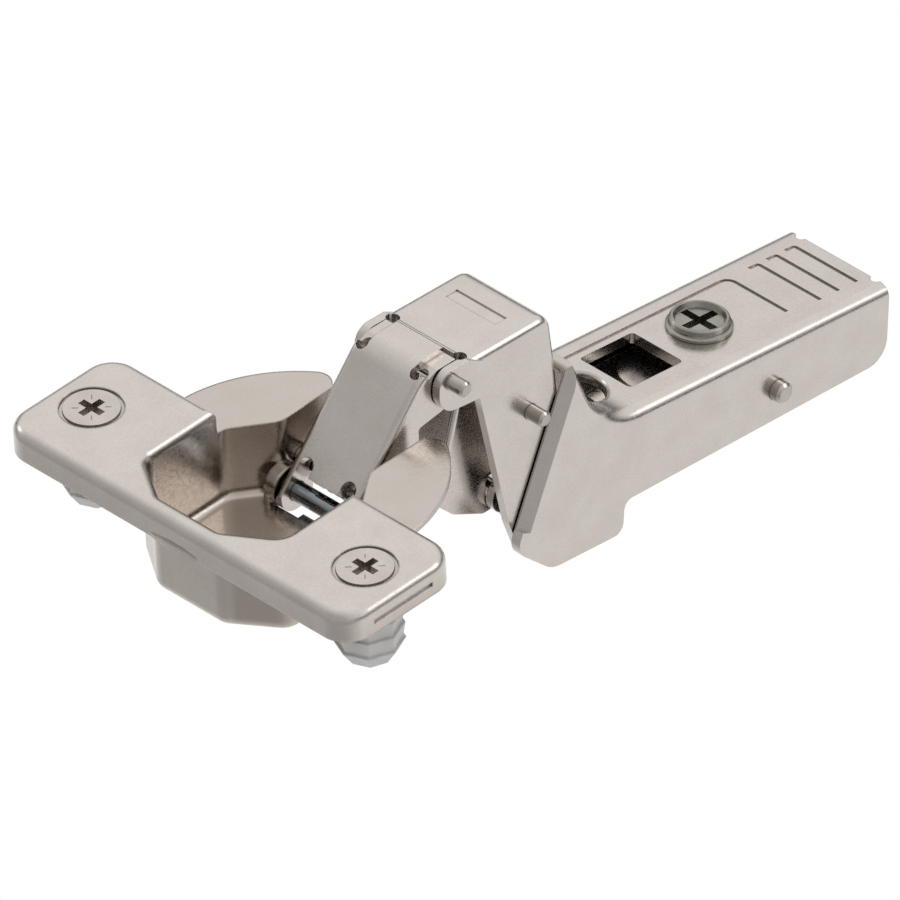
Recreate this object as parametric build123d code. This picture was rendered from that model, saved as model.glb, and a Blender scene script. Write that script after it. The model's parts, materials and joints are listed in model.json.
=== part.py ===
from build123d import *
import math
import os

# Concealed cup hinge for a cabinet door, shown fully open.
# Origin: centre of the round cup bore, on the face of the door.
# +Z points out of the door face, +X from the cup to the cabinet arm, pins run along Y.
# All lengths are in millimetres and all angles in degrees.

# Cup and its flange
bore_radius = 17.5
flange_top = 3.9
flange_front = -18.6
flange_rear = -0.3
flange_half_length = 28.6
flange_corner = 3.8
flange_edge_round = 1.25
flange_skin = 1.3
disc_radius = 19.0
disc_thickness = 0.6
bowl_depth = 10.0
bowl_wall = 0.8
floor_thickness = 0.6
bowl_front = -15.8
bowl_half_width = 11.3
slot_half_width = 7.35
bowl_floor_end = 4.25
floor_step_half_width = 2.3

# Screws and dowels
screw_spacing = 45.0
screw_x = -9.5
screw_head_radius = 3.42
screw_hole_radius = 3.87
screw_shank_radius = 1.9
dowel_radius = 4.28
dowel_rows = 4
dowel_row_height = 2.2
dowel_sides = 8
dowel_waist = 0.91
dowel_tip = 0.66
dowel_seat = 0.6
dowel_land = 0.5
dowel_seat_gap = 0.1

# Pins
axle_radius = 1.25
pin_radius = 1.0
running_gap = 0.05
seat_gap = 0.02
axle_passing = 0.2
lower_pin_passing = 0.45

# Pivot places when fully open, as X and Z
cup_front_pivot = Vector(5.62, -7.94)
cup_rear_pivot = Vector(9.2, -6.0)
bridge_front_pivot = Vector(20.22, 5.65)
bridge_middle_pivot = Vector(32.56, -5.91)
arm_pivot = Vector(40.0, -21.75)
control_arm_pivot = Vector(33.6, -24.0)
control_link_pivot = Vector(30.10, -18.10)
bridge_tilt = -3.67
arm_tilt = -7.77

# Front link
front_link_half_width = 5.7
front_link_sheet = 1.1
front_link_ear = 2.5
front_link_fold = 0.9
lip_half_width = 3.75

# Inner link
inner_link_half_width = 3.4
inner_link_sheet = 1.1
inner_link_fold = 0.7
control_pin_radius = 0.95
slot_play = 0.12
inner_link_closing = 116.5
middle_slot_low = Vector(-0.85, -0.05)
middle_slot_high = Vector(1.63, 0.9)
lower_slot_low = Vector(-0.95, 0.0)
lower_slot_high = Vector(1.6, 2.05)

# Control link
control_sheet = 1.1
control_ear = 2.2
side_gap = 0.12

# Bridge
bridge_half_width = 7.0
bridge_sheet = 1.15
bridge_fold = 1.2
web_notch_top = -6.5
bridge_top = 1.4
bridge_length = 16.5

# Arm
arm_half_width = 8.55
arm_sheet = 1.4
arm_fold = 1.6
arm_top = 8.45
arm_rear = 49.4
arm_bottom_rear = -1.6
arm_lobe_bottom = -7.9
window_front = 10.3
window_rear = 19.2
window_half_width = 4.2
adjust_screw_p = 26.1
adjust_head_radius = 3.63
clip_pin_p = 31.0
clip_pin_q = 1.8
clip_pin_radius = 1.35
adjust_neck_radius = 2.6
cam_top = 5.5
cam_radius = 3.3
cam_offset = 0.8
cam_swing_gap = 0.3
valley_hole_half_width = 3.7
valley_hole_end = 9.0
groove_width = 0.5
groove_depth = 0.3
blind_skin = 0.35

# Bracket inside the arm
bracket_top = 4.4
bracket_sheet = 1.2
bracket_half_width = 6.9
bracket_front = 1.9
bracket_wall_front = 9.0
bracket_rear = 28.5
bracket_tongue_half_width = 5.2
front_screw_p = 5.2
front_head_radius = 3.3

# Clip lever
lever_half_width = 5.3
lever_sheet = 1.1
lever_rear = 46.8

# Springs round the clip pin and the rear axle of the cup
spring_gap = 0.17
clip_wire_radius = 0.28
clip_spring_pitch = 0.9
clip_spring_turns = 4
closing_wire_radius = 0.42
closing_spring_pitch = 1.15
closing_spring_turns = 3


def side_plane(y):
    """Plane seen from the -Y side: local x is +X, local y is +Z."""
    return Plane(origin=(0, y, 0), x_dir=(1, 0, 0), z_dir=(0, -1, 0))


def tilted_frame(pivot, angle):
    """Location whose local X and Z axes are turned by angle about the pivot."""
    return Location((pivot.X, 0, pivot.Y)) * Location((0, 0, 0), (0, -angle, 0))


def slab(corners, radii, y_low, y_high):
    """Solid with a rounded outline in the XZ plane, from y_low to y_high."""
    line = FilletPolyline(*corners, radius=radii, close=True)
    flat = make_face(line)
    return side_plane(y_high) * extrude(flat, amount=y_high - y_low)


def rod(center, radius, y_low, y_high):
    """Round bar along Y about a point given as X and Z."""
    flat = Pos(center.X, center.Y) * Circle(radius)
    return side_plane(y_high) * extrude(flat, amount=y_high - y_low)


def both_sides(corners, radii, y_inner, y_outer):
    """The same slab on the +Y and the -Y side."""
    return slab(corners, radii, y_inner, y_outer) + slab(corners, radii, -y_outer, -y_inner)


def rods_both_sides(center, radius, y_inner, y_outer):
    return rod(center, radius, y_inner, y_outer) + rod(center, radius, -y_outer, -y_inner)


def block(x_low, x_high, y_low, y_high, z_low, z_high):
    size = (x_high - x_low, y_high - y_low, z_high - z_low)
    middle = ((x_low + x_high) / 2, (y_low + y_high) / 2, (z_low + z_high) / 2)
    return Pos(*middle) * Box(*size)


def fold_edges(solid, half_width, frame_test):
    """Edges on the two outer side planes that frame_test accepts."""
    chosen = []
    for edge in solid.edges():
        middle = edge @ 0.5
        if abs(abs(middle.Y) - half_width) < 1e-3 and abs((edge @ 0).Y - (edge @ 1).Y) < 1e-3:
            if frame_test(middle):
                chosen.append(edge)
    return chosen


def fold_cutter(start, end, outward, half_width, radius):
    """Cutter that rounds the two long corners of a fold from start to end (X and Z)."""
    run = (end - start).normalized()
    plane = Plane(
        origin=(start.X, 0, start.Y),
        x_dir=(outward.X, 0, outward.Y),
        z_dir=(run.X, 0, run.Y),
    )
    corner = Pos(0, half_width) * Rectangle(2 * radius, 2 * radius)
    corner -= Pos(-radius, half_width - radius) * Circle(radius)
    corner -= Pos(-radius, 0) * Rectangle(radius, 4 * half_width, align=(Align.MAX, Align.CENTER))
    corner -= Rectangle(4 * radius, half_width - radius, align=(Align.CENTER, Align.MIN))
    both = corner + mirror(corner, Plane.XZ)
    return plane * extrude(both, amount=(end - start).length)


def mirrored_outline(half_points, half_radii):
    """Closed outline symmetric about the X axis, from its +Y half, front to rear."""
    points = half_points + [(x, -y) for x, y in reversed(half_points)]
    radii = half_radii + list(reversed(half_radii))
    return make_face(FilletPolyline(*points, radius=radii, close=True))


def cup_inner_outline():
    half = [
        (bowl_front, 5.0),
        (bowl_front + 3.9, bowl_half_width),
        (flange_rear + 1.0, bowl_half_width),
        (flange_rear + 6.4, slot_half_width),
        (disc_radius + 3, slot_half_width),
    ]
    return mirrored_outline(half, [2.0, 2.5, 3.0, 3.0, 0])


def cup_outer_outline():
    half = [
        (bowl_front - bowl_wall, 5.3),
        (bowl_front + 3.7, bowl_half_width + bowl_wall),
        (flange_rear + 1.3, bowl_half_width + bowl_wall),
        (flange_rear + 6.7, slot_half_width + bowl_wall),
        (bore_radius - 2.1, slot_half_width + bowl_wall),
    ]
    return mirrored_outline(half, [2.5, 3.0, 2.2, 3.6, 1.0])


def make_cup():
    flange_x = (flange_front + flange_rear) / 2
    flange_width = flange_rear - flange_front
    wings = Pos(flange_x, 0) * RectangleRounded(flange_width, 2 * flange_half_length, flange_corner)
    flange = extrude(wings, amount=flange_top)
    disc_flat = Circle(disc_radius) - Pos(bowl_floor_end + 15, 0) * Rectangle(30, 2 * slot_half_width)
    disc_tips = [corner for corner in disc_flat.vertices() if corner.X > 15]
    disc = extrude(fillet(disc_tips, 2.2), amount=disc_thickness)
    bowl = Pos(0, 0, -bowl_depth) * extrude(cup_outer_outline(), amount=bowl_depth + disc_thickness)
    floor_rim = bowl.edges().filter_by(Plane.XY).group_by(Axis.Z)[0]
    bowl = fillet(floor_rim, 1.5)
    cup = flange + disc + bowl
    for side in (-1, 1):
        boss_low = slot_half_width if side > 0 else -slot_half_width - bowl_wall - 0.4
        boss_high = slot_half_width + bowl_wall + 0.4 if side > 0 else -slot_half_width
        cup += rod(cup_front_pivot, 2.6, boss_low, boss_high)
    floor_level = floor_thickness - bowl_depth
    cavity = extrude(cup_inner_outline(), amount=bowl_depth + flange_top)
    cavity = fillet(cavity.edges().filter_by(Plane.XY).group_by(Axis.Z)[0], 1.2)
    cup -= Pos(0, 0, floor_level) * cavity
    cup -= block(bowl_floor_end, disc_radius + 3, -slot_half_width, slot_half_width, -bowl_depth - 1, 0)
    step = floor_step_half_width
    for side in (-1, 1):
        low = min(side * step, side * slot_half_width)
        high = max(side * step, side * slot_half_width)
        cup -= block(bowl_floor_end - 0.9, bowl_floor_end + 1, low, high, -bowl_depth - 1, 0)
    top_face = cup.faces().sort_by(Axis.Z)[-1]
    cup = fillet(top_face.edges(), flange_edge_round)
    # Bosses that carry the front axle, with a rib down to the floor
    for side in (-1, 1):
        low = front_link_half_width + 0.25 if side > 0 else -slot_half_width - 0.3
        high = slot_half_width + 0.3 if side > 0 else -front_link_half_width - 0.25
        cup += rod(cup_front_pivot, 2.6, low, high)
        rib_y = side * (front_link_half_width + 0.95)
        cup += block(
            cup_front_pivot.X - 3.1,
            cup_front_pivot.X - 0.6,
            rib_y - 0.4,
            rib_y + 0.4,
            -bowl_depth + 0.3,
            cup_front_pivot.Y,
        )
        cup += block(
            bowl_floor_end - 2.2,
            cup_front_pivot.X + 1.0,
            min(side * (front_link_half_width + 0.25), side * (slot_half_width + 0.3)),
            max(side * (front_link_half_width + 0.25), side * (slot_half_width + 0.3)),
            -bowl_depth + 0.1,
            cup_front_pivot.Y - 1.5,
        )
    # Hollow underside of the two wings, with a ring left round each screw
    for side in (-1, 1):
        pocket_y = side * (bowl_half_width + bowl_wall + flange_half_length) / 2
        pocket_length = flange_half_length - bowl_half_width - bowl_wall - 4.4
        pocket_width = flange_width - 4.4
        pocket = extrude(
            Pos((flange_front + flange_rear) / 2, pocket_y)
            * RectangleRounded(pocket_width, pocket_length, 2.4),
            amount=flange_top - flange_skin,
        )
        pocket -= Pos(screw_x, side * screw_spacing / 2) * extrude(Circle(5.4), amount=flange_top)
        cup -= pocket
        cup -= Pos(screw_x, side * screw_spacing / 2) * extrude(Circle(screw_hole_radius), amount=flange_top)
        cup -= Pos(screw_x, side * screw_spacing / 2) * extrude(
            Circle(dowel_radius + dowel_seat_gap), amount=dowel_seat
        )
        groove_y = side * flange_half_length
        cup -= block(
            flange_front + flange_corner + 0.6,
            flange_rear - flange_corner - 0.6,
            groove_y - 0.3,
            groove_y + 0.3,
            1.35,
            1.95,
        )
    ear_low = front_link_half_width - front_link_sheet - 0.15
    ear_high = front_link_half_width + 0.2
    cup -= rods_both_sides(cup_front_pivot, front_link_ear + 0.2, ear_low, ear_high)
    reach = slot_half_width + bowl_wall + 1.0
    cup -= rod(cup_front_pivot, axle_radius + seat_gap, -reach, reach)
    cup -= rod(cup_rear_pivot, axle_radius + seat_gap, -reach, reach)
    return cup


def make_dowel(side):
    """Knock-in dowel: rows of tapered eight-sided ribs, a blunt tip and a round collar."""
    waist = dowel_radius * dowel_waist
    tip = dowel_radius * dowel_tip
    body = None
    for row in range(dowel_rows):
        top = -row * dowel_row_height
        last = row == dowel_rows - 1
        upper = Pos(0, 0, top) * RegularPolygon(dowel_radius, dowel_sides)
        lower = Pos(0, 0, top - dowel_row_height) * RegularPolygon(tip if last else waist, dowel_sides)
        rib = loft([lower, upper])
        body = rib if body is None else body + rib
    collar_top = flange_top - flange_skin - 0.2
    collar = extrude(Circle(screw_hole_radius - 0.12), amount=collar_top)
    shoulder = extrude(Circle(dowel_radius), amount=dowel_seat + dowel_land)
    body = body + collar + Pos(0, 0, -dowel_land) * shoulder
    seat_low = flange_top - 0.45 - (screw_head_radius - screw_shank_radius)
    seat = revolve(
        Plane.XZ
        * make_face(
            Polyline(
                (0, seat_low - 12),
                (screw_shank_radius + seat_gap, seat_low - 12),
                (screw_shank_radius + seat_gap, seat_low - 0.05),
                (screw_head_radius + seat_gap, flange_top - 0.5),
                (screw_head_radius + seat_gap, flange_top),
                (0, flange_top),
                close=True,
            )
        ),
        Axis.Z,
    )
    body = body - seat
    return Pos(screw_x, side * screw_spacing / 2, 0) * body


def make_cup_screw(side):
    """Countersunk screw with a cross recess, its head flush with the flange."""
    seat_low = flange_top - 0.45 - (screw_head_radius - screw_shank_radius)
    profile = Polyline(
        (0, -7.6),
        (screw_shank_radius * 0.7, -7.6),
        (screw_shank_radius, -6.6),
        (screw_shank_radius, seat_low),
        (screw_head_radius, flange_top - 0.45),
        (screw_head_radius, flange_top),
        (0, flange_top),
        close=True,
    )
    screw = revolve(Plane.XZ * make_face(profile), Axis.Z)
    for turn in (0, 90):
        bar = Pos(0, 0, flange_top - 0.7) * Rot(0, 0, turn) * Box(3.5, 0.95, 1.4)
        screw -= bar
    return Pos(screw_x, side * screw_spacing / 2, 0) * screw


def make_front_link():
    c = cup_front_pivot
    p = bridge_front_pivot
    w = front_link_half_width
    t = front_link_sheet
    bend = p + Vector(-2.65, 2.5)
    lip_end = p + Vector(2.0, 2.2)
    foot = c + Vector(-2.6, 0.5)
    corners = [
        c + Vector(-2.45, -front_link_ear),
        c + Vector(front_link_ear, -front_link_ear),
        c + Vector(10.2, 6.3),
        c + Vector(10.2, 8.45),
        p + Vector(0.0, -4.65),
        p + Vector(2.4, -1.5),
        lip_end,
        bend,
        foot,
    ]
    points = [(v.X, v.Y) for v in corners]
    radii = [2.3, 2.0, 1.0, 0.5, 1.5, 1.5, 0, 5.0, 0]
    link = slab(points, radii, -w, w)
    slope = (bend - foot).normalized()
    inward = Vector(slope.Y, -slope.X)

    def near_web(point):
        rel = Vector(point.X, point.Z) - foot
        on_slope = abs(rel.dot(inward)) < 0.05
        on_lip = point.Z > p.Y + 2.0
        on_bend = abs(rel.dot(inward)) < 1.0 and rel.dot(slope) > (bend - foot).length - 3
        return on_slope or on_lip or on_bend

    link = fillet(fold_edges(link, w, near_web), front_link_fold)
    foot_in = foot + inward * t - slope * 4
    bend_in = bend + inward * t + slope * (-t * 0.43)
    lip_in = lip_end + Vector(3.0, -t - 0.2)
    cavity = [
        (foot_in.X, foot_in.Y),
        (bend_in.X, bend_in.Y),
        (lip_in.X, lip_in.Y),
        (p.X + 6, c.Y - 8),
        (c.X - 6, c.Y - 8),
    ]
    link -= slab(cavity, [0, 3.9, 0, 0, 0], -w + t, w - t)
    # Lower edge of the web: a tongue between two round notches
    web_frame = Location(
        Plane(
            origin=(foot.X, 0, foot.Y),
            x_dir=(slope.X, 0, slope.Y),
            z_dir=(-inward.X, 0, -inward.Y),
        )
    )
    tongue_s = 3.5
    notch_s = 4.6
    fold_y = w - t
    link -= web_frame * Pos(tongue_s / 2 - 2, 0, -0.5) * Box(tongue_s + 4, 2 * fold_y, 3)
    for side in (-1, 1):
        link -= web_frame * Pos(notch_s, side * 3.5, -0.5) * Cylinder(1.1, 3)
        link -= web_frame * Pos(notch_s - 1.0, side * 3.5, -0.5) * Box(2.0, 2.2, 3)
    # The bent lip is narrower than the channel, with a round relief at each end of its bend
    lip_start = bend - slope * 0.9
    relief = [
        lip_start,
        lip_start - inward * 1.5,
        bend + Vector(-1.5, 1.5),
        lip_end + Vector(1.0, 1.5),
        p + Vector(3.0, 1.4),
        p + Vector(-0.9, 1.5),
        lip_start + inward * 1.3,
    ]
    link -= both_sides([(v.X, v.Y) for v in relief], [0] * 7, lip_half_width, w + 1)
    for side in (-1, 1):
        link -= web_frame * Pos((lip_start - foot).length, side * 4.45, 0) * Cylinder(0.85, 5)
    # Hollow in the cheeks that passes round the rear axle while the link folds
    keep = axle_radius + axle_passing
    swing = (cup_rear_pivot - c).length
    sweep_ring = rods_both_sides(c, swing + keep, fold_y - 0.2, w + 1)
    sweep_ring -= rods_both_sides(c, swing - keep, fold_y - 0.3, w + 2)
    start = math.atan2((cup_rear_pivot - c).Y, (cup_rear_pivot - c).X)
    far = 4 * swing
    fan = [c]
    for turn in (0.0, 0.9, 1.8, 2.6):
        fan.append(c + Vector(math.cos(start - turn), math.sin(start - turn)) * far)
    sweep_ring = sweep_ring & both_sides([(v.X, v.Y) for v in fan], [0] * 5, fold_y - 0.25, w + 0.9)
    link -= sweep_ring
    link -= rods_both_sides(cup_rear_pivot, keep, fold_y - 0.2, w + 1)
    link -= rod(c, axle_radius + running_gap, -w - 1, w + 1)
    link -= rod(p, pin_radius + running_gap, -w - 1, w + 1)
    return link


def make_bridge():
    """Folded box link; drawn in its own frame about its front pivot."""
    arm_pin = to_frame(arm_pivot, bridge_front_pivot, bridge_tilt)
    top = bridge_top
    w = bridge_half_width
    t = bridge_sheet
    rear_top = Vector(bridge_length, top)
    rear_low = Vector(bridge_length + 3.2, -21.0)
    corners = [
        (-1.9, top + 0.1),
        (2.95, top + 0.1),
        (3.15, top),
        (rear_top.X, rear_top.Y),
        (rear_low.X, rear_low.Y),
        (arm_pin.X + 5.2, arm_pin.Y + 3.4),
        (arm_pin.X + 5.2, arm_pin.Y - 5.2),
        (arm_pin.X - 9.6, arm_pin.Y - 5.2),
        (arm_pin.X - 11.95, arm_pin.Y + 0.95),
        (4.75, -4.74),
        (-1.9, -4.1),
    ]
    radii = [2.2, 0.06, 0, 2.2, 0, 3.4, 5.1, 3.0, 4.0, 0.4, 3.0]
    box = slab(corners, radii, -w, w)

    rear_slope = (rear_low.X - rear_top.X) / (rear_low.Y - rear_top.Y)

    def near_sheet(point):
        on_top = abs(point.Z - top) < 0.05 and point.X > 3.3
        rear_x = rear_top.X + rear_slope * (point.Z - rear_top.Y)
        on_rear = abs(point.X - rear_x) < 0.95 and point.Z > rear_low.Y + 3
        return on_top or on_rear

    box = fillet(fold_edges(box, w, near_sheet), bridge_fold)
    web_end = -13.0
    web_end_x = rear_top.X + rear_slope * (web_end - rear_top.Y)
    inner = [
        (-8.0, 2 * top + 6),
        (2.75, 2 * top + 6),
        (2.75, top - t),
        (rear_top.X - t, top - t),
        (web_end_x - t, web_end),
        (arm_pin.X + 12, web_end),
        (arm_pin.X + 12, arm_pin.Y - 12),
        (-8.0, arm_pin.Y - 12),
    ]
    box -= slab(inner, [0, 0, 0, 1.2, 0, 0, 0, 0], -w + t, w - t)
    for side in (-1, 1):
        box -= Pos(2.9, side * (w - t - 0.35), 2) * Cylinder(0.85, 4)
    # Notch in the rear web that lets the inner link swing through
    notch_half = inner_link_half_width + 0.4
    box -= block(web_end_x - 4, web_end_x + 4, -notch_half, notch_half, web_end - 1, web_notch_top)
    # Shallow pressed mark on the top, drawn as a plain field
    box -= Pos(11.3, 0.2, top) * Box(1.9, 8.2, 0.36)
    box = tilted_frame(bridge_front_pivot, bridge_tilt) * box
    box -= rod(bridge_front_pivot, pin_radius + seat_gap, -w - 1, w + 1)
    box -= rod(bridge_middle_pivot, pin_radius + seat_gap, -w - 1, w + 1)
    box -= rod(arm_pivot, pin_radius + running_gap, -w - 1, w + 1)
    box -= rod(control_arm_pivot, pin_radius + lower_pin_passing, -w - 1, w + 1)
    return box


def to_frame(point, origin, angle):
    """Coordinates of a point in a frame turned by angle about origin."""
    rel = point - origin
    turn = math.radians(angle)
    return Vector(
        rel.X * math.cos(turn) + rel.Y * math.sin(turn),
        -rel.X * math.sin(turn) + rel.Y * math.cos(turn),
    )


def wide_slot(center, low, high, radius, reach):
    """Rounded opening that lets a pin of this radius wander between two corners."""
    left = center.X + low.X - radius
    right = center.X + high.X + radius
    bottom = center.Y + low.Y - radius
    top = center.Y + high.Y + radius
    corners = [(left, bottom), (right, bottom), (right, top), (left, top)]
    return slab(corners, [radius] * 4, -reach, reach)


def make_inner_link():
    c = cup_rear_pivot
    p = bridge_middle_pivot
    q = control_link_pivot
    w = inner_link_half_width
    t = inner_link_sheet
    heel_top = Vector(25.2, 0.6)
    heel_low = Vector(19.8, -14.2)
    corners = [
        c + Vector(-2.2, -2.2),
        c + Vector(2.2, -2.2),
        Vector(15.9, -2.6),
        Vector(15.9, 0.6),
        heel_top,
        heel_low,
        q + Vector(-7.4, 0.8),
        q + Vector(-2.6, -1.85),
        q + Vector(3.45, -1.85),
        q + Vector(3.45, 4.2),
        p + Vector(3.75, -4.0),
        p + Vector(3.75, 3.1),
        p + Vector(-4.9, 3.5),
        Vector(27.0, 3.5),
        Vector(15.3, 2.9),
        c + Vector(-2.2, 1.2),
    ]
    radii = [2.1, 1.8, 1.0, 0.8, 0.8, 1.5, 3.0, 1.5, 2.2, 1.5, 2.6, 2.8, 1.5, 2.2, 2.0, 1.8]
    link = slab([(v.X, v.Y) for v in corners], radii, -w, w)
    run = (heel_low - heel_top).normalized()
    inward = Vector(-run.Y, run.X)
    link -= fold_cutter(heel_top, heel_low, inward * -1, w, inner_link_fold)
    web_start = heel_top + run * 1.2 + inward * t
    web_end = heel_low + inward * t - run * 0.6
    far = Vector(60, 0)
    cavity = [
        web_start,
        web_end,
        web_end + Vector(3.0, -12),
        web_end + far + Vector(0, -12),
        web_start + far + Vector(0, 30),
        Vector(c.X - 8, web_start.Y + 30),
        Vector(c.X - 8, c.Y - 8),
        Vector(c.X + 8, c.Y - 8),
        heel_top + run * 1.2 - inward * 1.5,
    ]
    link -= slab([(v.X, v.Y) for v in cavity], [0] * 9, -w + t, w - t)
    reach = w + 1
    link -= rod(c, axle_radius + running_gap, -reach, reach)
    # Hollow in the upper edge where the front axle lies when the hinge is closed
    closed_axle = to_frame(cup_front_pivot, c, inner_link_closing) + c
    link -= rod(closed_axle, axle_radius + axle_passing, -reach, reach)
    link -= wide_slot(p, middle_slot_low, middle_slot_high, pin_radius + slot_play, reach)
    link -= wide_slot(q, lower_slot_low, lower_slot_high, control_pin_radius + slot_play, reach)
    return link


def make_control_link(side):
    """Small stamped plate beside the inner link; one on each side."""
    a = control_arm_pivot
    q = control_link_pivot
    inner = inner_link_half_width + side_gap
    outer = inner + control_sheet
    low = inner if side > 0 else -outer
    high = outer if side > 0 else -inner
    along = (q - a).normalized()
    waist = Vector(-along.Y, along.X) * (control_ear * 0.8)
    bar = [a + waist, q + waist, q - waist, a - waist]
    link = slab([(v.X, v.Y) for v in bar], [0] * 4, low, high)
    link += rod(q, control_ear, low, high)
    link += rod(a, control_ear, low, high)
    link -= rod(a, pin_radius + running_gap, low - 1, high + 1)
    link -= rod(q, control_pin_radius + seat_gap, low - 1, high + 1)
    return link


def make_arm():
    """Folded channel of the arm; drawn in its own frame about its front pivot."""
    w = arm_half_width
    t = arm_sheet
    top = arm_top
    tip = Vector(-3.45, 19.1)
    valley = Vector(1.7, top)
    climb = (tip - valley).normalized()
    under = Vector(climb.Y, -climb.X) * -t
    tip_inner = tip + under * 0.65
    corners = [
        (tip_inner.X, tip_inner.Y),
        (tip.X, tip.Y),
        (valley.X, valley.Y),
        (arm_rear, top),
        (arm_rear + 0.2, arm_bottom_rear),
        (5.95, -3.42),
        (5.95, arm_lobe_bottom + 0.15),
        (-5.8, arm_lobe_bottom),
        (-12.0, -3.2),
        (-11.0, -0.3),
        (-5.6, 15.0),
    ]
    radii = [0.5, 0, 9.4, 0, 3.0, 1.3, 1.4, 4.0, 2.4, 2.4, 3.0]
    arm = slab(corners, radii, -w, w)

    def near_top(point):
        on_top = point.Z > top - 0.02 and point.X > valley.X
        on_slope = point.Z > top and point.X > tip.X + 0.5
        return on_top or on_slope

    arm = fillet(fold_edges(arm, w, near_top), arm_fold)
    bottom_line = top - t
    steps = (bottom_line - (valley + under).Y) / climb.Y
    inner_valley = valley + under + climb * steps
    inner_tip = inner_valley + climb * 16
    inner = [
        (-16.0, 30.0),
        (inner_tip.X, inner_tip.Y),
        (inner_valley.X, inner_valley.Y),
        (arm_rear + 5, bottom_line),
        (arm_rear + 5, -20),
        (-16.0, -20),
    ]
    arm -= slab(inner, [0, 0, 9.4 + t, 0, 0, 0], -w + t, w - t)
    # Bevel on the outer front edge of both walls
    front_low = Vector(-11.0, -0.3)
    front_line = (Vector(-5.6, 15.0) - front_low).normalized()
    bevel_plane = Plane(
        origin=(front_low.X, 0, front_low.Y),
        x_dir=(-front_line.Y, 0, front_line.X),
        z_dir=(front_line.X, 0, front_line.Y),
    )
    bevel = make_face(
        Polyline((0.4, w + 0.4), (-1.7, w + 0.4), (-1.4, w + 0.02), (0.4, w - 1.45), close=True)
    )
    for side in (bevel, mirror(bevel, Plane.XZ)):
        arm -= bevel_plane * Pos(0, 0, -0.5) * extrude(side, amount=24)
    # Opening in the valley with a rolled lip
    opening = Pos(0.3, 0) * Rectangle(10.0, 2 * valley_hole_half_width)
    opening += Pos(valley_hole_end - valley_hole_half_width, 0) * Circle(valley_hole_half_width)
    cutter = Pos(0, 0, bottom_line - 1.5) * extrude(opening, amount=16)
    cutter += Pos(-4.7, 0, 8) * Box(9.0, 2 * valley_hole_half_width, 26)
    arm -= cutter
    rim = [
        edge
        for edge in arm.edges()
        if abs((edge @ 0.5).Y) < valley_hole_half_width + 0.05
        and valley_hole_end - valley_hole_half_width < (edge @ 0.5).X < valley_hole_end + 1
        and abs((edge @ 0.5).Z - top) < 0.3
    ]
    arm = fillet(rim, 0.8)
    # Window, screw holes and shallow pressed lines in the top
    window_middle = (window_front + window_rear) / 2
    window = RectangleRounded(window_rear - window_front, 2 * window_half_width, 0.6)
    arm -= Pos(window_middle, 0, bottom_line - 0.5) * extrude(window, amount=t + 1)
    arm -= Pos(adjust_screw_p, 0, top) * Cylinder(adjust_neck_radius + running_gap, 4 * t)
    for groove in arm_grooves():
        arm -= groove
    for side in (-1, 1):
        arm -= Pos(arm_rear + 0.1, side * 6.15, top) * Cylinder(0.75, 4)
    reach = w + 1
    arm -= rod(Vector(clip_pin_p, clip_pin_q), clip_pin_radius + seat_gap, -reach, reach)
    blind = w - blind_skin
    arm -= rod(Vector(0, 0), pin_radius + seat_gap, -blind, blind)
    lower = to_frame(control_arm_pivot, arm_pivot, arm_tilt)
    arm -= rod(lower, pin_radius + seat_gap, -blind, blind)
    return arm


def arm_grooves():
    """Cutters for the pressed lines on top of the arm."""
    half = groove_width / 2
    z = arm_top
    paths = [FilletPolyline((4.5, 5.3), (36.3, 5.3), (36.3, -4.4), radius=1.3)]
    for number in range(3):
        p = 41.2 + number * 3.05
        paths.append(FilletPolyline((p - 1.5, 5.15), (p, 5.15), (p, -5.15), radius=0.4))
    cutters = []
    for path in paths:
        flat = Face(trace(path, line_width=2 * half).faces()[0].outer_wire())
        cutters.append(Pos(0, 0, z - groove_depth) * extrude(flat, amount=1))
    return cutters


def make_pin(center, radius, y_low, y_high, chamfer_size):
    pin = rod(center, radius, y_low, y_high)
    rims = [edge for edge in pin.edges() if abs((edge @ 0).Y - (edge @ 0.5).Y) < 1e-6]
    return chamfer(rims, chamfer_size)


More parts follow.
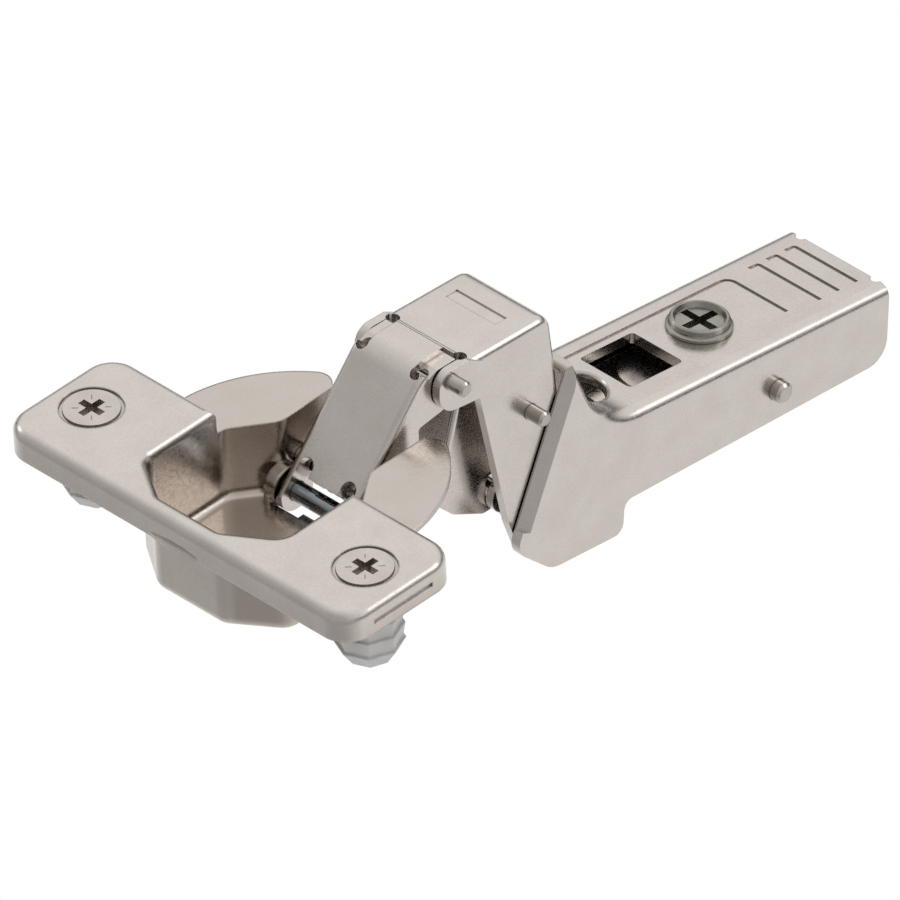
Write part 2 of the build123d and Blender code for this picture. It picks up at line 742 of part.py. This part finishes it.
def make_inner_bracket():
    """Channel inside the arm that hooks on the mounting plate; in the frame of the arm."""
    w = bracket_half_width
    t = bracket_sheet
    top = bracket_top
    side_corners = [
        (bracket_wall_front, top),
        (bracket_rear, top),
        (bracket_rear + 5.6, top - 1.6),
        (bracket_rear + 5.6, -0.9),
        (bracket_rear + 1.0, -1.9),
        (bracket_wall_front + 5.2, -2.4),
        (bracket_wall_front + 4.6, -0.4),
        (bracket_wall_front + 2.0, -0.4),
        (bracket_wall_front + 1.4, -2.4),
        (bracket_wall_front, -1.6),
    ]
    radii = [0, 0, 1.6, 1.0, 1.0, 0.3, 1.2, 1.2, 0.3, 0.6]
    body = slab(side_corners, radii, -w, w)
    body = fillet(fold_edges(body, w, lambda p: p.Z > top - 0.01), 0.9)
    body -= block(bracket_wall_front - 1, bracket_rear + 9, -w + t, w - t, -9, top - t)
    body -= block(bracket_rear, bracket_rear + 9, -w + t, w - t, -9, top + 1)
    tongue = Pos((bracket_front + bracket_wall_front) / 2 + 0.5, 0) * RectangleRounded(
        bracket_wall_front - bracket_front + 1.0, 2 * bracket_tongue_half_width, 0.45
    )
    body += Pos(0, 0, top - t) * extrude(tongue, amount=t)
    body += Pos(window_rear, 0, top) * extrude(
        Circle(4.6) & Pos(-0.6, 0) * Rectangle(9.0, 12.0), amount=0.7
    )
    # the eccentric disc turns above the bracket, clear of the raised step
    cam_swing = cam_radius + cam_offset + cam_swing_gap
    body -= Pos(adjust_screw_p, 0, top) * extrude(Circle(cam_swing), amount=cam_top)
    body -= Pos(adjust_screw_p, 0, top) * Cylinder(1.8 + running_gap, 8)
    body -= Pos(front_screw_p, 0, top) * Cylinder(1.6 + running_gap, 8)
    body -= rod(Vector(clip_pin_p, clip_pin_q), clip_pin_radius + seat_gap, -w - 1, w + 1)
    return body


def make_side_screw():
    """Front screw with a cross recess; in the frame of the arm."""
    low = bracket_top
    profile = Polyline(
        (0, low - bracket_sheet - 0.9),
        (1.6, low - bracket_sheet - 0.9),
        (1.6, low + 0.05),
        (front_head_radius, low + 0.05),
        (front_head_radius, low + 1.1),
        (front_head_radius - 0.4, low + 1.5),
        (0, low + 1.5),
        close=True,
    )
    screw = revolve(Plane.XZ * make_face(profile), Axis.Z)
    for turn in (45, 135):
        screw -= Pos(0, 0, low + 1.5) * Rot(0, 0, turn) * Box(4.6, 1.15, 2.0)
    return Pos(front_screw_p, 0, 0) * screw


def make_depth_screw():
    """Dished screw head above the arm with a neck down into the bracket."""
    top = arm_top
    profile = Polyline(
        (0, bracket_top - bracket_sheet - 0.4),
        (1.8, bracket_top - bracket_sheet - 0.4),
        (1.8, cam_top),
        (adjust_neck_radius, cam_top),
        (adjust_neck_radius, top + 0.03),
        (adjust_head_radius + 0.4, top + 0.03),
        (adjust_head_radius + 0.4, top + 0.4),
        (adjust_head_radius + 0.05, top + 0.55),
        (adjust_head_radius, top + 0.75),
        (adjust_head_radius, top + 1.3),
        (adjust_head_radius - 0.2, top + 1.45),
        (adjust_head_radius - 0.45, top + 1.45),
        (adjust_head_radius - 0.75, top + 0.85),
        (0, top + 0.85),
        close=True,
    )
    screw = revolve(Plane.XZ * make_face(profile), Axis.Z)
    for turn in (0, 90):
        screw -= Pos(0, 0, top + 0.85) * Rot(0, 0, turn) * Box(5.4, 1.1, 3.2)
    return Pos(adjust_screw_p, 0, 0) * screw


def make_depth_cam():
    """Eccentric disc riveted under the depth screw."""
    disc = Cylinder(cam_radius, cam_top - bracket_top - 0.1)
    disc = Pos(cam_offset, 0, (cam_top + bracket_top + 0.1) / 2) * disc
    disc -= Pos(0, 0, cam_top) * Cylinder(1.8 + seat_gap, 8)
    return Pos(adjust_screw_p, 0, 0) * disc


def make_clip_lever():
    """Sprung release lever with two hooks; in the frame of the arm."""
    w = lever_half_width
    t = lever_sheet
    pin = Vector(clip_pin_p, clip_pin_q)
    corners = [
        (pin.X - 2.1, pin.Y + 2.1),
        (pin.X + 3.0, pin.Y + 1.6),
        (lever_rear, 3.6),
        (lever_rear, -1.0),
        (pin.X + 3.0, -2.0),
        (pin.X - 1.0, -2.6),
        (pin.X - 3.0, -2.6),
        (pin.X - 2.6, -1.4),
        (pin.X - 2.1, -0.6),
    ]
    lever = slab(corners, [2.0, 1.5, 0.8, 0.8, 1.0, 0.3, 0.2, 0.3, 0.8], -w, w)
    lever -= block(0, lever_rear - t, -w + t, w - t, -0.9, 9)
    lever -= block(0, pin.X + 3.6, -w + t, w - t, -9, 9)
    lever -= rod(pin, clip_pin_radius + running_gap, -w - 1, w + 1)
    return lever


def coil(wire_radius, mean_radius, pitch, turns):
    """Wire wound about the Y axis, centred on the origin; its section has six sides."""
    height = pitch * turns
    path = Helix(pitch, height, mean_radius)
    section = Plane(origin=path @ 0, z_dir=path % 0) * RegularPolygon(wire_radius, 6)
    return Rot(90, 0, 0) * Pos(0, 0, -height / 2) * sweep(section, path=path)


def make_clip_spring():
    mean_radius = clip_pin_radius + clip_wire_radius + spring_gap
    spring = coil(clip_wire_radius, mean_radius, clip_spring_pitch, clip_spring_turns)
    return Pos(clip_pin_p, 0, clip_pin_q) * spring


def make_closing_spring():
    mean_radius = axle_radius + closing_wire_radius + spring_gap
    spring = coil(closing_wire_radius, mean_radius, closing_spring_pitch, closing_spring_turns)
    return Pos(cup_rear_pivot.X, 0, cup_rear_pivot.Y) * spring


os.makedirs("parts", exist_ok=True)
nodes = {
    "cup": lambda: make_cup(),
    "dowel_left": lambda: make_dowel(1),
    "dowel_right": lambda: make_dowel(-1),
    "cup_screw_left": lambda: make_cup_screw(1),
    "cup_screw_right": lambda: make_cup_screw(-1),
    "front_link": lambda: make_front_link(),
    "bridge": lambda: make_bridge(),
    "inner_link": lambda: make_inner_link(),
    "control_link_left": lambda: make_control_link(1),
    "control_link_right": lambda: make_control_link(-1),
    "arm": lambda: tilted_frame(arm_pivot, arm_tilt) * make_arm(),
    "inner_bracket": lambda: tilted_frame(arm_pivot, arm_tilt) * make_inner_bracket(),
    "side_adjust_screw": lambda: tilted_frame(arm_pivot, arm_tilt) * make_side_screw(),
    "depth_adjust_screw": lambda: tilted_frame(arm_pivot, arm_tilt) * make_depth_screw(),
    "depth_cam": lambda: tilted_frame(arm_pivot, arm_tilt) * make_depth_cam(),
    "clip_lever": lambda: tilted_frame(arm_pivot, arm_tilt) * make_clip_lever(),
    "clip_spring": lambda: tilted_frame(arm_pivot, arm_tilt) * make_clip_spring(),
    "closing_spring": lambda: make_closing_spring(),
    "cup_axle_front": lambda: make_pin(cup_front_pivot, axle_radius, -8.3, 8.3, 0.2),
    "cup_axle_rear": lambda: make_pin(cup_rear_pivot, axle_radius, -8.3, 8.3, 0.2),
    "bridge_front_pin": lambda: make_pin(bridge_front_pivot, pin_radius, -9.6, 7.0, 0.3),
    "bridge_middle_pin": lambda: make_pin(bridge_middle_pivot, pin_radius, -9.6, 7.0, 0.3),
    "arm_front_pin": lambda: make_pin(arm_pivot, pin_radius, -8.15, 8.15, 0.2),
    "arm_lower_pin_left": lambda: make_pin(control_arm_pivot, pin_radius, 3.4, 8.15, 0.2),
    "arm_lower_pin_right": lambda: make_pin(control_arm_pivot, pin_radius, -8.15, -3.4, 0.2),
    "control_link_pin": lambda: make_pin(control_link_pivot, control_pin_radius, -4.9, 4.9, 0.15),
    "clip_pin": lambda: tilted_frame(arm_pivot, arm_tilt)
    * make_pin(Vector(clip_pin_p, clip_pin_q), clip_pin_radius, -10.05, 8.5, 0.35),
}
for name, make in nodes.items():
    export_step(make(), f"parts/{name}.step")
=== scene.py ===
import json
import math

import bmesh
import bpy
from mathutils import Matrix, Vector


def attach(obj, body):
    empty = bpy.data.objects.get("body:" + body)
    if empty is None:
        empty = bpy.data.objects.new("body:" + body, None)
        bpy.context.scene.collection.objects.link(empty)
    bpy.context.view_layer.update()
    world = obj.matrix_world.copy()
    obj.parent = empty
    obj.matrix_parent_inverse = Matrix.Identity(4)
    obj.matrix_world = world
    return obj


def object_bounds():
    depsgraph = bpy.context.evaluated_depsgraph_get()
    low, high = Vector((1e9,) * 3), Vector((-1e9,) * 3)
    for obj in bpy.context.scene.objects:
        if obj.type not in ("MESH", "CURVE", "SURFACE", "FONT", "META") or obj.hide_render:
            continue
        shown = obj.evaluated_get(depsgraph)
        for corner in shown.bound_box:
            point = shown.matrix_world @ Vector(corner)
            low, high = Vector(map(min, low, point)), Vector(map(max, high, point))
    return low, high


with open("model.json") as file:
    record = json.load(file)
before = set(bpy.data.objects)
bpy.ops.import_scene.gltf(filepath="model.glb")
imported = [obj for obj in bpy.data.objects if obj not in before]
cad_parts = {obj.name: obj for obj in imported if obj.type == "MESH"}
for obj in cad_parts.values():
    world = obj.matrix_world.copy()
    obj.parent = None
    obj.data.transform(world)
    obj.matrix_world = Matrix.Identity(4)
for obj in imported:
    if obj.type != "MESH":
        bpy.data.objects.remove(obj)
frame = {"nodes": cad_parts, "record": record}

MM = 0.001
cad_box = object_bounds()

# Camera: the photo is an isometric view of the cabinet side, so the door face is a little tilted in it
PHOTO_TILT = math.radians(3.67)
PHOTO_CENTRE = Vector((25.95, 0.0, -11.4)) * MM
PHOTO_HEIGHT = 104.9 * MM
LENS = 1400.0
SENSOR = 36.0
CLIP_NEAR, CLIP_FAR = 0.1, 4.0

# Cup screws: places of the heads, the pressed rim round each head and the ticks on it, all in mm
SCREW_X, SCREW_SPACING, FLANGE_TOP = -9.5, 45.0, 3.9
CUP_SCREWS = [Vector((SCREW_X, side * SCREW_SPACING / 2, FLANGE_TOP)) * MM for side in (-1, 1)]
SEAT_INNER, SEAT_OUTER = 3.44, 3.86
SEAT_LOW, SEAT_HIGH = 0.80, 0.28
SEAT_STEPS = 64
TICK_INNER, TICK_OUTER = 1.55, 2.35
TICK_HALF_WIDTH, TICK_HEIGHT = 0.07, 0.02
TICK_TURNS = (45, 135, 225, 315)

# Noise on the metals: its scale as repeats in a mm, and the band of its values that is used
CLOUD_PER_MM, CLOUD_BAND = 0.22, (0.35, 0.65)
GRAIN_PER_MM, GRAIN_BAND = 2.6, (0.3, 0.7)
FLECK_PER_MM, FLECK_BAND = 3.4, (0.42, 0.60)
FLECK_SHADE = 0.55
GLOSS_SPREAD = (-0.05, 0.07)
RELIEF_DEPTH = 0.03
EDGE_SAMPLES = 4

# Painted shade: narrow gaps and recesses are painted darker and browner, out to this many mm
CREVICE_REACH, CREVICE_SAMPLES = 0.7, 6
CREVICE_BAND, CREVICE_STRENGTH = (0.25, 0.75), 0.75
CREVICE_SHADE_COLOUR = (0.16, 0.13, 0.11)

# Painted shade: the cup's colour is darker and browner low in the cup, and less so on its near outer wall,
# in mm
CUP_SHADE_BELOW, SHADE_FADE = 2.2, 3.0
SHADE_FRONT, SHADE_FRONT_FADE, SHADE_OUTSIDE = -16.0, 0.5, 0.25
SHADE_TINT = (0.82, 0.79, 0.76)

METALS = {
    "nickel_sheet": {"light": (0.665, 0.625, 0.59), "dark": (0.625, 0.585, 0.55), "roughness": 0.22},
    "polished_pin": {
        "light": (0.50, 0.47, 0.44),
        "dark": (0.44, 0.41, 0.385),
        "roughness": 0.13,
        "speckle": 0.05,
        "bump": 0.02,
    },
    "zinc_screw": {
        "light": (0.40, 0.39, 0.355),
        "dark": (0.31, 0.30, 0.27),
        "roughness": 0.24,
        "soft_edge": 0.08,
    },
    "spring_wire": {"light": (0.36, 0.36, 0.37), "dark": (0.28, 0.28, 0.30), "roughness": 0.22},
    "cup_axle": {
        "light": (0.30, 0.33, 0.36),
        "dark": (0.22, 0.25, 0.28),
        "roughness": 0.14,
        "speckle": 0.05,
        "bump": 0.02,
    },
    "cup_sheet": {
        "light": (0.665, 0.625, 0.59),
        "dark": (0.625, 0.585, 0.55),
        "roughness": 0.20,
        "soft_edge": 0.45,
        # Painted shade low in the cup
        "shaded_below": CUP_SHADE_BELOW,
    },
    "cup_screw": {
        "light": (0.64, 0.60, 0.565),
        "dark": (0.58, 0.54, 0.505),
        "roughness": 0.26,
        "soft_edge": 0.08,
    },
}
OWN_FINISH = {
    "cup": "cup_sheet",
    "cup_axle_front": "cup_axle",
    "cup_screw_left": "cup_screw",
    "cup_screw_right": "cup_screw",
}

# Plastic of the dowels
DOWEL_COLOUR, DOWEL_SHADE = (0.66, 0.665, 0.66), 0.86
DOWEL_CLOUD_PER_MM, DOWEL_GRAIN_PER_MM = 0.3, 3.0
DOWEL_GLOSS = (0.32, 0.48)
DOWEL_RELIEF, DOWEL_SOFT_EDGE = 0.15, 0.15
DOWEL_GLOW, DOWEL_GLOW_REACH = 0.35, (1.2, 1.2, 1.1)

SHARP_ANGLE = math.radians(28)

# Floor: how far under the part it lies and how wide it is, in metres, and its brightness along X in
# reflections
FLOOR_DROP, FLOOR_SIZE = 0.25, 6.0
FLOOR_COLOUR = (0.82, 0.81, 0.80)
FLOOR_SPAN, FLOOR_LEVELS = (-0.34, 0.06), (0.45, 0.92)

# World: its strength grows along X, and on the +X side it has a dark band just over the horizon
WARM_WHITE = (1.0, 0.985, 0.97)
WHITE = (1.0, 1.0, 1.0)
SIDE_SPAN, SIDE_LEVELS = (-0.80, 0.30), (0.50, 1.0)
BAND_SPAN, BAND_LEVELS = (-0.60, 0.0), (1.0, 0.12)
BAND_HEIGHT = (0.05, 0.42)


def from_photo_axes(x, y, z):
    """Turns a direction in the photo's level axes into the row frame."""
    c, s = math.cos(PHOTO_TILT), math.sin(PHOTO_TILT)
    return Vector((x * c + z * s, y, -x * s + z * c))


def look_at(obj, back, up):
    """Points an object's -Z axis against back, with its Y axis as near to up as it goes."""
    z = back.normalized()
    x = up.cross(z).normalized()
    y = z.cross(x)
    obj.matrix_world = Matrix.Translation(obj.location) @ Matrix((x, y, z)).transposed().to_4x4()


def add_camera():
    """Very long lens from the photo's side, so that its picture is as good as parallel."""
    data = bpy.data.cameras.new("camera")
    data.sensor_width = SENSOR
    data.lens = LENS
    cam = bpy.data.objects.new("camera", data)
    bpy.context.scene.collection.objects.link(cam)
    back = from_photo_axes(-1, -1, 1).normalized()
    distance = PHOTO_HEIGHT * LENS / SENSOR
    cam.location = PHOTO_CENTRE + back * distance
    data.clip_start, data.clip_end = distance * CLIP_NEAR, distance * CLIP_FAR
    look_at(cam, back, from_photo_axes(0, 0, 1))
    bpy.context.scene.camera = cam


class Nodes:
    """Short way to write a node tree."""

    def __init__(self, tree):
        self.tree = tree
        tree.nodes.clear()

    def add(self, kind, inputs=None, **settings):
        node = self.tree.nodes.new(kind)
        for name, value in settings.items():
            setattr(node, name, value)
        for name, value in (inputs or {}).items():
            if isinstance(value, bpy.types.NodeSocket):
                self.tree.links.new(value, node.inputs[name])
            else:
                node.inputs[name].default_value = value
        return node

    def noise(self, place, per_mm, detail=2.0, roughness=0.55):
        made = self.add(
            "ShaderNodeTexNoise",
            {"Vector": place, "Scale": per_mm / MM, "Detail": detail, "Roughness": roughness},
        )
        return made.outputs["Fac"]

    def remap(self, value, band, to_low, to_high):
        """Turns the band of values into to_low at its start and to_high at its end."""
        made = self.add(
            "ShaderNodeMapRange",
            {"Value": value, "From Min": band[0], "From Max": band[1], "To Min": to_low, "To Max": to_high},
        )
        return made.outputs["Result"]

    def mix(self, factor, first, second):
        """Mixes two colours; a mix node has its colour sockets at 6 and 7 and its colour result at 2."""
        made = self.add("ShaderNodeMix", data_type="RGBA")
        for socket, value in zip((0, 6, 7), (factor, first, second)):
            if isinstance(value, bpy.types.NodeSocket):
                self.tree.links.new(value, made.inputs[socket])
            else:
                made.inputs[socket].default_value = value
        return made.outputs[2]

    def times(self, first, second):
        return self.add("ShaderNodeMath", {0: first, 1: second}, operation="MULTIPLY").outputs[0]

    def split(self, vector):
        """Outputs of a vector, by the names X, Y and Z."""
        return self.add("ShaderNodeSeparateXYZ", {"Vector": vector}).outputs

    def relief(self, strength, height, soft_edge):
        """Normal with rounded edges and a fine relief on it."""
        rounded = self.add("ShaderNodeBevel", {"Radius": soft_edge * MM}, samples=EDGE_SAMPLES)
        made = self.add(
            "ShaderNodeBump",
            {
                "Strength": strength,
                "Distance": RELIEF_DEPTH * MM,
                "Height": height,
                "Normal": rounded.outputs["Normal"],
            },
        )
        return made.outputs["Normal"]

    def camera_white(self, seen, white):
        """Shader that is white for the camera, and the other one for every other ray."""
        ray = self.add("ShaderNodeLightPath").outputs["Is Camera Ray"]
        return self.add("ShaderNodeMixShader", {0: ray, 1: seen, 2: white}).outputs["Shader"]


def opaque(colour, shade=1.0):
    """Colour with full alpha, darkened by shade."""
    return (*[value * shade for value in colour], 1.0)


def new_material(name):
    """Material with an empty node tree, as the material and its tree."""
    material = bpy.data.materials.new(name)
    material.use_nodes = True
    return material, Nodes(material.node_tree)


def plated_metal(name, light, dark, roughness, speckle=0.10, bump=0.05, soft_edge=0.12, shaded_below=None):
    """Satin plated metal: cloudy colour, fine mottling, painted shade in crevices, uneven gloss and
    softened edges.

    Under the height in mm given by its last argument, shade is painted into the colour, darker and browner,
    as inside a deep cup.
    """
    material, n = new_material(name)
    place = n.add("ShaderNodeTexCoord").outputs["Object"]
    cloud = n.noise(place, CLOUD_PER_MM, detail=4.0)
    grain = n.noise(place, GRAIN_PER_MM)
    fleck = n.noise(place, FLECK_PER_MM, roughness=0.6)
    colour = n.mix(n.remap(cloud, CLOUD_BAND, 0.0, 1.0), opaque(light), opaque(dark))
    colour = n.mix(n.remap(fleck, FLECK_BAND, 0.0, speckle), colour, opaque(dark, FLECK_SHADE))
    # Painted shade: low in the cup, and less on its near outer wall, the colour goes darker and browner
    if shaded_below is not None:
        axes = n.split(place)
        heights = (shaded_below * MM, (shaded_below - SHADE_FADE) * MM)
        low = n.remap(axes["Z"], heights, 0.0, 1.0)
        fronts = (SHADE_FRONT * MM, (SHADE_FRONT + SHADE_FRONT_FADE) * MM)
        inside = n.remap(axes["X"], fronts, SHADE_OUTSIDE, 1.0)
        shade_colour = [value * tint for value, tint in zip(dark, SHADE_TINT)]
        colour = n.mix(n.times(low, inside), colour, opaque(shade_colour))
    # Painted shade: ambient occlusion darkens the colour towards brown in narrow gaps and recesses
    crevice = n.add("ShaderNodeAmbientOcclusion", {"Distance": CREVICE_REACH * MM}, samples=CREVICE_SAMPLES)
    crevice_shade = n.remap(crevice.outputs["AO"], CREVICE_BAND, CREVICE_STRENGTH, 0.0)
    colour = n.mix(crevice_shade, colour, opaque(CREVICE_SHADE_COLOUR))
    gloss = n.remap(grain, GRAIN_BAND, *[roughness + spread for spread in GLOSS_SPREAD])
    shader = n.add(
        "ShaderNodeBsdfPrincipled",
        {
            "Base Color": colour,
            "Metallic": 1.0,
            "Roughness": gloss,
            "Normal": n.relief(bump, grain, soft_edge),
        },
    )
    n.add("ShaderNodeOutputMaterial", {"Surface": shader.outputs["BSDF"]})
    return material


def moulded_plastic(name, colour):
    """Pale plastic that lets a little light through, with a faint moulded texture."""
    material, n = new_material(name)
    place = n.add("ShaderNodeTexCoord").outputs["Object"]
    grain = n.noise(place, DOWEL_GRAIN_PER_MM)
    cloud = n.noise(place, DOWEL_CLOUD_PER_MM)
    tone = n.mix(n.remap(cloud, CLOUD_BAND, 0.0, 1.0), opaque(colour), opaque(colour, DOWEL_SHADE))
    shader = n.add(
        "ShaderNodeBsdfPrincipled",
        {
            "Base Color": tone,
            "Roughness": n.remap(grain, GRAIN_BAND, *DOWEL_GLOSS),
            "Subsurface Weight": DOWEL_GLOW,
            "Subsurface Radius": [reach * MM for reach in DOWEL_GLOW_REACH],
            "Subsurface Scale": 1.0,
            "Normal": n.relief(DOWEL_RELIEF, grain, DOWEL_SOFT_EDGE),
        },
    )
    n.add("ShaderNodeOutputMaterial", {"Surface": shader.outputs["BSDF"]})
    return material


def dress_nodes():
    """Gives every CAD node its own finish, or else that of its slot, and returns all finishes."""
    finishes = {name: plated_metal(name, **look) for name, look in METALS.items()}
    finishes["dowel_plastic"] = moulded_plastic("dowel_plastic", DOWEL_COLOUR)
    slots = {entry["node"]: entry["material_slot"] for entry in frame["record"]["subparts"]}
    for name, obj in frame["nodes"].items():
        obj.data.materials.clear()
        obj.data.materials.append(finishes[OWN_FINISH.get(name, slots[name])])
        smooth_curves(obj)
    return finishes


def smooth_curves(obj):
    """Shades the curved faces of a piece smoothly and leaves its real corners sharp."""
    obj.data.shade_smooth()
    obj.data.set_sharp_from_angle(angle=SHARP_ANGLE)


def cup_piece(mesh, name, metal):
    """Makes a piece of the scene from a bmesh and fixes it to the cup."""
    data = bpy.data.meshes.new(name)
    mesh.to_mesh(data)
    mesh.free()
    data.materials.append(metal)
    piece = bpy.data.objects.new(name, data)
    bpy.context.scene.collection.objects.link(piece)
    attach(piece, "cup_body")
    return piece


def screw_marks(metal):
    """Four short pressed lines between the arms of the recess of each cup screw."""
    mesh = bmesh.new()
    inner, outer, half_width = TICK_INNER * MM, TICK_OUTER * MM, TICK_HALF_WIDTH * MM
    rise = Vector((0, 0, TICK_HEIGHT * MM))
    for centre in CUP_SCREWS:
        for degrees in TICK_TURNS:
            turn = math.radians(degrees)
            along = Vector((math.cos(turn), math.sin(turn), 0))
            across = Vector((-along.y, along.x, 0))
            outline = [
                along * inner,
                along * (inner + half_width) + across * half_width,
                along * (outer - half_width) + across * half_width,
                along * outer,
                along * (outer - half_width) - across * half_width,
                along * (inner + half_width) - across * half_width,
            ]
            low = [mesh.verts.new(centre + point - rise) for point in outline]
            high = [mesh.verts.new(centre + point + rise) for point in outline]
            mesh.faces.new(high)
            mesh.faces.new(list(reversed(low)))
            for i in range(len(outline)):
                k = (i + 1) % len(outline)
                mesh.faces.new((low[i], low[k], high[k], high[i]))
    cup_piece(mesh, "cup_screw_marks", metal)


def screw_seats(metal):
    """The pressed rim of sheet round the head of each cup screw, a little under the flange."""
    mesh = bmesh.new()
    section = [
        (SEAT_INNER, -SEAT_LOW),
        (SEAT_OUTER, -SEAT_LOW),
        (SEAT_OUTER, -SEAT_HIGH),
        (SEAT_INNER, -SEAT_HIGH),
    ]
    for centre in CUP_SCREWS:
        rings = []
        for step in range(SEAT_STEPS):
            turn = 2 * math.pi * step / SEAT_STEPS
            way = Vector((math.cos(turn), math.sin(turn), 0))
            points = [centre + way * r * MM + Vector((0, 0, z * MM)) for r, z in section]
            rings.append([mesh.verts.new(point) for point in points])
        for ring, following in zip(rings, rings[1:] + rings[:1]):
            for i in range(len(section)):
                k = (i + 1) % len(section)
                mesh.faces.new((ring[i], following[i], following[k], ring[k]))
    bmesh.ops.recalc_face_normals(mesh, faces=mesh.faces)
    smooth_curves(cup_piece(mesh, "cup_screw_seats", metal))


def add_floor():
    """A wide pale floor well under the part, white for the camera and clear from below."""
    lowest = cad_box[0].z
    bpy.ops.mesh.primitive_plane_add(size=FLOOR_SIZE, location=(0, 0, lowest - FLOOR_DROP))
    floor = bpy.context.object
    floor.name = "floor"
    material, n = new_material("floor")
    plain = n.add("ShaderNodeBsdfDiffuse", {"Color": opaque(FLOOR_COLOUR)})
    place = n.add("ShaderNodeTexCoord").outputs["Object"]
    level = n.remap(n.split(place)["X"], FLOOR_SPAN, *FLOOR_LEVELS)
    pale = n.add("ShaderNodeEmission", {"Color": opaque(WARM_WHITE), "Strength": level})
    shiny = n.add("ShaderNodeLightPath").outputs["Is Glossy Ray"]
    mirrored = n.add(
        "ShaderNodeMixShader",
        {0: shiny, 1: plain.outputs["BSDF"], 2: pale.outputs["Emission"]},
    )
    white = n.add("ShaderNodeEmission", {"Color": opaque(WHITE), "Strength": 1.0})
    seen = n.camera_white(mirrored.outputs["Shader"], white.outputs["Emission"])
    under = n.add("ShaderNodeNewGeometry").outputs["Backfacing"]
    clear = n.add("ShaderNodeBsdfTransparent")
    one_sided = n.add("ShaderNodeMixShader", {0: under, 1: seen, 2: clear.outputs["BSDF"]})
    n.add("ShaderNodeOutputMaterial", {"Surface": one_sided.outputs["Shader"]})
    floor.data.materials.append(material)


def add_studio():
    """World that is white for the camera and lights the part unevenly, and two soft lamps."""
    scene = bpy.context.scene
    scene.view_settings.view_transform = "Standard"
    world = bpy.data.worlds.new("studio")
    scene.world = world
    world.use_nodes = True
    n = Nodes(world.node_tree)
    way = n.add("ShaderNodeTexCoord").outputs["Generated"]
    axes = n.split(way)
    side = n.remap(axes["X"], SIDE_SPAN, *SIDE_LEVELS)
    darkest = n.remap(axes["X"], BAND_SPAN, *BAND_LEVELS)
    height = n.remap(axes["Z"], BAND_HEIGHT, darkest, 1.0)
    level = n.times(side, height)
    studio = n.add("ShaderNodeBackground", {"Color": opaque(WARM_WHITE), "Strength": level})
    white = n.add("ShaderNodeBackground", {"Color": opaque(WHITE), "Strength": 1.0})
    seen = n.camera_white(studio.outputs["Background"], white.outputs["Background"])
    n.add("ShaderNodeOutputWorld", {"Surface": seen})
    add_softbox("key_light", from_photo_axes(1, -1, 1), distance=0.7, size=0.26, power=0.33)
    add_softbox("rim_light", from_photo_axes(-0.25, 1, 0.55), distance=0.8, size=0.22, power=0.25)


def add_softbox(name, way, distance, size, power):
    """Square lamp that shines on the part from the direction way."""
    data = bpy.data.lights.new(name, "AREA")
    data.shape = "SQUARE"
    data.size = size
    data.energy = power
    lamp = bpy.data.objects.new(name, data)
    bpy.context.scene.collection.objects.link(lamp)
    lamp.location = PHOTO_CENTRE + way.normalized() * distance
    look_at(lamp, way, Vector((0, 0, 1)))


add_camera()
finishes = dress_nodes()
screw_marks(finishes["zinc_screw"])
screw_seats(finishes["nickel_sheet"])
add_floor()
add_studio()
